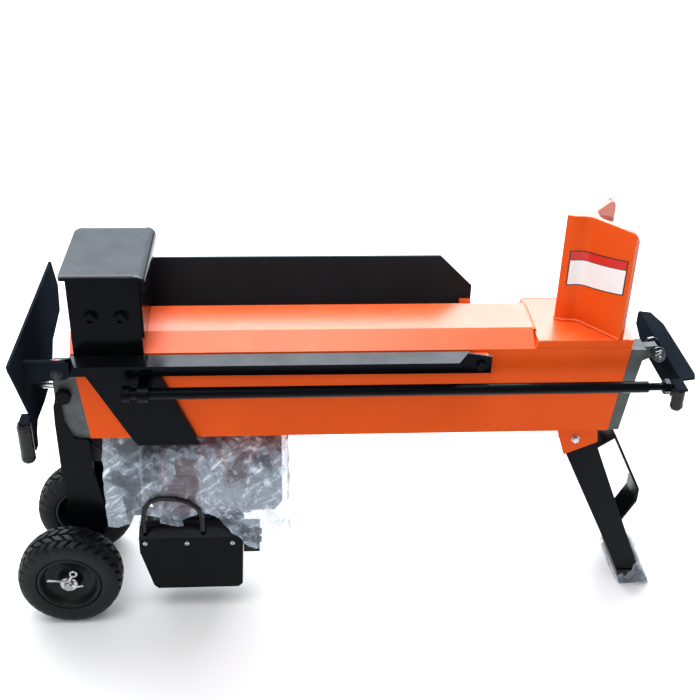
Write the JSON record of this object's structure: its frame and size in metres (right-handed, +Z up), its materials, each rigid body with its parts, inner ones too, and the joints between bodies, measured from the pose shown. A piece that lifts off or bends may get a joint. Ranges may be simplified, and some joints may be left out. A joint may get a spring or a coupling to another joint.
{
  "type": "log splitter",
  "caption": "horizontal electric hydraulic log splitter: box beam on two wheels and one leg, fixed winged wedge, saddle pusher on an inner ram, two shielded levers",
  "frame": {"origin": "centre of the bounding box in X and Y, on the floor under the wheels and the foot", "axes": "+X along the beam from the pusher end to the wedge, +Y away from the operator side that carries the control rod, +Z up"},
  "size_m": [0.905, 0.302, 0.575],
  "materials": {
    "orange_enamel": "satin orange enamel",
    "black_enamel": "gloss black enamel",
    "grey_casting": "grey painted casting",
    "bare_steel": "bare turned steel",
    "dark_casting": "dark painted casting",
    "hard_chrome": "ground and plated",
    "tyre_rubber": "moulded block tread",
    "grip_rubber": "smooth gloss grip",
    "black_plastic": "moulded",
    "motor_paint": "dark red enamel",
    "green_button": "moulded",
    "red_button": "moulded",
    "nylon": "machined",
    "clear_film": "clear crumpled polythene"
  },
  "bodies": {
    "frame": {"axle": "bare_steel", "beam_base_plate": "orange_enamel", "beam_tube": "orange_enamel", "box_lid": "black_enamel", "button_housing": "black_plastic", "ear_far_left": "orange_enamel", "ear_far_right": "orange_enamel", "ear_near_left": "orange_enamel", "ear_near_right": "orange_enamel", "end_bell": "dark_casting", "end_casting_left": "grey_casting", "end_casting_right": "grey_casting", "fan_cover": "black_plastic", "far_guard": "black_enamel", "film_cover": "clear_film", "foot_pad": "grip_rubber", "guard_bolt_left": "black_enamel", "guard_bolt_right": "black_enamel", "left_leg": "black_enamel", "leg_ear_bracket": "orange_enamel", "leg_handle": "black_enamel", "motor_cable": "grip_rubber", "motor_housing": "motor_paint", "near_guard": "black_enamel", "oil_manifold": "dark_casting", "piston": "bare_steel", "piston_rod": "hard_chrome", "pump_body": "dark_casting", "right_leg": "black_enamel", "switch_box": "black_enamel", "wedge": "orange_enamel", "wedge_filler": "orange_enamel"},
    "ram": {"push_block": "black_enamel", "pusher_cap": "black_enamel", "side_plate_near": "black_enamel", "side_plate_far": "black_enamel", "saddle_plate": "black_enamel", "slide_pad": "nylon", "drive_key": "bare_steel", "ram_barrel": "bare_steel", "ram_gland": "bare_steel", "pusher_bolt_a": "black_enamel", "pusher_bolt_b": "black_enamel", "rod_lug": "black_enamel"},
    "left_control": {"left_lever": "black_enamel", "left_grip": "grip_rubber"},
    "right_control": {"right_lever": "black_enamel", "right_grip": "grip_rubber"},
    "return_rod": {"control_rod": "black_enamel"},
    "spool": {"valve_spool": "hard_chrome"},
    "wheel_near": {"tyre_near": "tyre_rubber", "rim_near": "black_plastic"},
    "wheel_far": {"tyre_far": "tyre_rubber", "rim_far": "black_plastic"},
    "motor_rotor": {"rotor": "bare_steel", "fan": "black_plastic", "drive_gear": "bare_steel"},
    "idler_gear": {"driven_gear": "bare_steel"},
    "start_key": {"start_button": "green_button"},
    "stop_key": {"stop_button": "red_button"}
  },
  "joints": [
    {"name": "ram_slide", "type": "slide", "parent": "frame", "child": "ram", "axis": [1, 0, 0], "range_m": [0, 0.3]},
    {"name": "left_lever_hinge", "type": "hinge", "parent": "frame", "child": "left_control", "pos_m": [-0.3635, -0.09, 0.4], "axis": [0, -1, 0], "range_deg": [0, 10], "stiffness_Nm_per_rad": 4, "springref_deg": -8.59},
    {"name": "right_lever_hinge", "type": "hinge", "parent": "frame", "child": "right_control", "pos_m": [0.3965, -0.057, 0.406], "axis": [0, -1, 0], "range_deg": [0, 8], "stiffness_Nm_per_rad": 4, "springref_deg": -8.59},
    {"name": "rod_slide", "type": "slide", "parent": "frame", "child": "return_rod", "axis": [1, 0, 0], "range_m": [0, 0.0045]},
    {"name": "spool_slide", "type": "slide", "parent": "frame", "child": "spool", "axis": [1, 0, 0], "range_m": [0, 0.01]},
    {"name": "wheel_near_spin", "type": "hinge", "parent": "frame", "child": "wheel_near", "pos_m": [-0.3815, -0.087, 0.071], "axis": [0, 1, 0], "continuous": true},
    {"name": "wheel_far_spin", "type": "hinge", "parent": "frame", "child": "wheel_far", "pos_m": [-0.3815, 0.063, 0.071], "axis": [0, 1, 0], "continuous": true},
    {"name": "motor_spin", "type": "hinge", "parent": "frame", "child": "motor_rotor", "pos_m": [-0.1895, -0.012, 0.193], "axis": [1, 0, 0], "continuous": true},
    {"name": "idler_spin", "type": "hinge", "parent": "frame", "child": "idler_gear", "pos_m": [-0.2905, -0.012, 0.168], "axis": [1, 0, 0], "continuous": true},
    {"name": "start_press", "type": "slide", "parent": "frame", "child": "start_key", "axis": [-1, 0, 0], "range_m": [0, 0.003], "stiffness_N_per_m": 300, "springref_m": -0.002},
    {"name": "stop_press", "type": "slide", "parent": "frame", "child": "stop_key", "axis": [-1, 0, 0], "range_m": [0, 0.003], "stiffness_N_per_m": 300, "springref_m": -0.002}
  ],
  "couplings": [
    {"joint": "rod_slide", "follows": "right_lever_hinge", "m_per_rad": 0.03},
    {"joint": "spool_slide", "follows": "left_lever_hinge", "m_per_rad": 0.056},
    {"joint": "idler_spin", "follows": "motor_spin", "ratio": -1}
  ]
}
